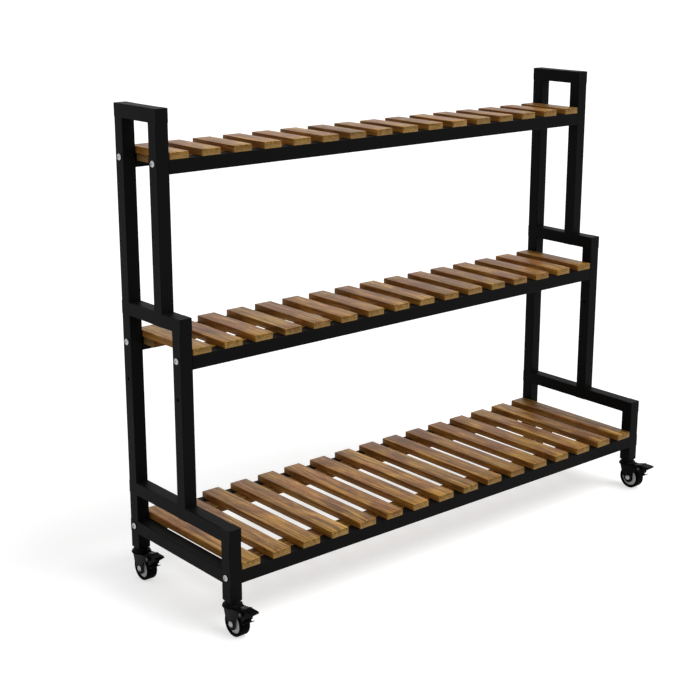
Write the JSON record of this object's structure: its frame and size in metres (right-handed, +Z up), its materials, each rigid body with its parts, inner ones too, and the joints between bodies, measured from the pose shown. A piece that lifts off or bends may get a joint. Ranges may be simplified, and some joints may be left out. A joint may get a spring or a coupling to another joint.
{
  "type": "plant stand",
  "caption": "Stepped three-tier plant stand: black square-tube side frames, slatted wooden shelves, and swivel casters with foot brakes.",
  "frame": {"origin": "on the floor, under the middle of the stand's outer box with the casters as shown", "axes": "+X along the shelves, -Y towards the front where the shelves step out and the brake pedals point, +Z up"},
  "size_m": [1.1116, 0.3784, 0.8965],
  "materials": {
    "frame_steel": "satin black powder coat",
    "slats": "oiled pine",
    "screws": "zinc plated",
    "tube_plug": "matte black",
    "caster_hardware": "zinc plated",
    "caster_fork": "semi-gloss black",
    "wheel_core": "light grey nylon",
    "tyre": "matte black"
  },
  "bodies": {
    "stand": {"left_side_frame": "frame_steel", "right_side_frame": "frame_steel", "bottom_front_rail": "frame_steel", "bottom_rear_rail": "frame_steel", "middle_front_rail": "frame_steel", "middle_rear_rail": "frame_steel", "top_front_rail": "frame_steel", "top_rear_rail": "frame_steel", "bottom_shelf_deck": "slats", "middle_shelf_deck": "slats", "top_shelf_deck": "slats", "bottom_front_left_screw": "screws", "bottom_front_right_screw": "screws", "bottom_rear_left_screw": "screws", "bottom_rear_right_screw": "screws", "middle_front_left_screw": "screws", "middle_front_right_screw": "screws", "middle_rear_left_screw": "screws", "middle_rear_right_screw": "screws", "top_front_left_screw": "screws", "top_front_right_screw": "screws", "top_rear_left_screw": "screws", "top_rear_right_screw": "screws", "front_left_stem_plug": "tube_plug", "front_left_swivel_stem": "caster_fork", "front_right_stem_plug": "tube_plug", "front_right_swivel_stem": "caster_fork", "rear_left_stem_plug": "tube_plug", "rear_left_swivel_stem": "caster_fork", "rear_right_stem_plug": "tube_plug", "rear_right_swivel_stem": "caster_fork"},
    "front_left_swivel": {"front_left_fork": "caster_fork", "front_left_axle_bolt": "caster_hardware", "front_left_pedal_pin": "caster_hardware"},
    "front_left_wheel": {"front_left_tyre": "tyre", "front_left_wheel_core": "wheel_core"},
    "front_left_pedal": {"front_left_brake_pedal": "caster_fork", "front_left_brake_shoe": "caster_fork"},
    "front_right_swivel": {"front_right_fork": "caster_fork", "front_right_axle_bolt": "caster_hardware", "front_right_pedal_pin": "caster_hardware"},
    "front_right_wheel": {"front_right_tyre": "tyre", "front_right_wheel_core": "wheel_core"},
    "front_right_pedal": {"front_right_brake_pedal": "caster_fork", "front_right_brake_shoe": "caster_fork"},
    "rear_left_swivel": {"rear_left_fork": "caster_fork", "rear_left_axle_bolt": "caster_hardware", "rear_left_pedal_pin": "caster_hardware"},
    "rear_left_wheel": {"rear_left_tyre": "tyre", "rear_left_wheel_core": "wheel_core"},
    "rear_left_pedal": {"rear_left_brake_pedal": "caster_fork", "rear_left_brake_shoe": "caster_fork"},
    "rear_right_swivel": {"rear_right_fork": "caster_fork", "rear_right_axle_bolt": "caster_hardware", "rear_right_pedal_pin": "caster_hardware"},
    "rear_right_wheel": {"rear_right_tyre": "tyre", "rear_right_wheel_core": "wheel_core"},
    "rear_right_pedal": {"rear_right_brake_pedal": "caster_fork", "rear_right_brake_shoe": "caster_fork"}
  },
  "joints": [
    {"name": "front_left_swivel_turn", "type": "hinge", "parent": "stand", "child": "front_left_swivel", "pos_m": [-0.5373, -0.1239, 0.052], "axis": [0, 0, 1], "continuous": true},
    {"name": "front_left_wheel_roll", "type": "hinge", "parent": "front_left_swivel", "child": "front_left_wheel", "pos_m": [-0.5373, -0.1375, 0.02438], "axis": [1, 0, 0], "continuous": true},
    {"name": "front_left_pedal_press", "type": "hinge", "parent": "front_left_swivel", "child": "front_left_pedal", "pos_m": [-0.5373, -0.1645, 0.052], "axis": [1, 0, 0], "range_deg": [0, 14.5]},
    {"name": "front_right_swivel_turn", "type": "hinge", "parent": "stand", "child": "front_right_swivel", "pos_m": [0.5373, -0.1239, 0.052], "axis": [0, 0, 1], "continuous": true},
    {"name": "front_right_wheel_roll", "type": "hinge", "parent": "front_right_swivel", "child": "front_right_wheel", "pos_m": [0.5373, -0.1375, 0.02438], "axis": [1, 0, 0], "continuous": true},
    {"name": "front_right_pedal_press", "type": "hinge", "parent": "front_right_swivel", "child": "front_right_pedal", "pos_m": [0.5373, -0.1645, 0.052], "axis": [1, 0, 0], "range_deg": [0, 14.5]},
    {"name": "rear_left_swivel_turn", "type": "hinge", "parent": "stand", "child": "rear_left_swivel", "pos_m": [-0.5373, 0.1707, 0.052], "axis": [0, 0, 1], "continuous": true},
    {"name": "rear_left_wheel_roll", "type": "hinge", "parent": "rear_left_swivel", "child": "rear_left_wheel", "pos_m": [-0.5373, 0.1571, 0.02438], "axis": [1, 0, 0], "continuous": true},
    {"name": "rear_left_pedal_press", "type": "hinge", "parent": "rear_left_swivel", "child": "rear_left_pedal", "pos_m": [-0.5373, 0.1301, 0.052], "axis": [1, 0, 0], "range_deg": [0, 14.5]},
    {"name": "rear_right_swivel_turn", "type": "hinge", "parent": "stand", "child": "rear_right_swivel", "pos_m": [0.5373, 0.1707, 0.052], "axis": [0, 0, 1], "continuous": true},
    {"name": "rear_right_wheel_roll", "type": "hinge", "parent": "rear_right_swivel", "child": "rear_right_wheel", "pos_m": [0.5373, 0.1571, 0.02438], "axis": [1, 0, 0], "continuous": true},
    {"name": "rear_right_pedal_press", "type": "hinge", "parent": "rear_right_swivel", "child": "rear_right_pedal", "pos_m": [0.5373, 0.1301, 0.052], "axis": [1, 0, 0], "range_deg": [0, 14.5]}
  ]
}
